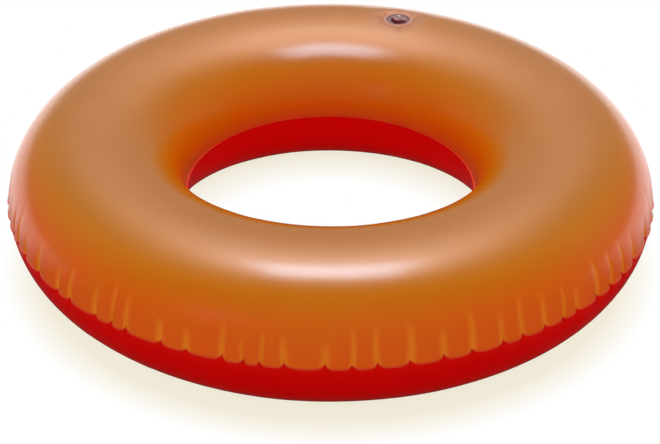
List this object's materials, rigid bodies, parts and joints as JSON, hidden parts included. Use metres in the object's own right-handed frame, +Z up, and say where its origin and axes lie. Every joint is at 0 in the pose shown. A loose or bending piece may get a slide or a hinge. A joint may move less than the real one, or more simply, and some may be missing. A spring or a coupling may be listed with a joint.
{
  "type": "inflatable swim ring",
  "caption": "Inflated swim ring of orange film over red film, welded at a pleated outer and a smooth inner seam, with a push-in air valve, check flap and tethered plug.",
  "frame": {"origin": "on the floor, under the middle of the ring's hole", "axes": "+Z up along the axis of the hole, +Y towards the valve, X to the right"},
  "size_m": [0.7252, 0.7253, 0.173],
  "materials": {
    "orange_film": "satin frosted film",
    "red_film": "glossy see-through film",
    "clear_vinyl": "glossy clear soft moulding"
  },
  "bodies": {
    "ring": {"upper_film": "orange_film", "lower_film": "red_film", "valve_flange": "clear_vinyl", "valve_web": "clear_vinyl"},
    "stem": {"valve_stem": "clear_vinyl", "plug_strap": "clear_vinyl"},
    "flap": {"check_flap": "clear_vinyl"},
    "plug": {"valve_plug": "clear_vinyl"}
  },
  "joints": [
    {"name": "valve_lift", "type": "slide", "parent": "ring", "child": "stem", "axis": [0, 0, 1], "range_m": [0, 0.016], "deforming": ["valve_web"]},
    {"name": "flap_hinge", "type": "hinge", "parent": "stem", "child": "flap", "pos_m": [0, 0.26035, 0.1586], "axis": [-1, 0, 0], "range_deg": [0, 60], "stiffness_Nm_per_rad": 0.00002, "springref_deg": -28.65},
    {"name": "plug_pull", "type": "slide", "parent": "stem", "child": "plug", "axis": [0, 0, 1], "range_m": [0, 0.008], "deforming": ["plug_strap"]}
  ]
}
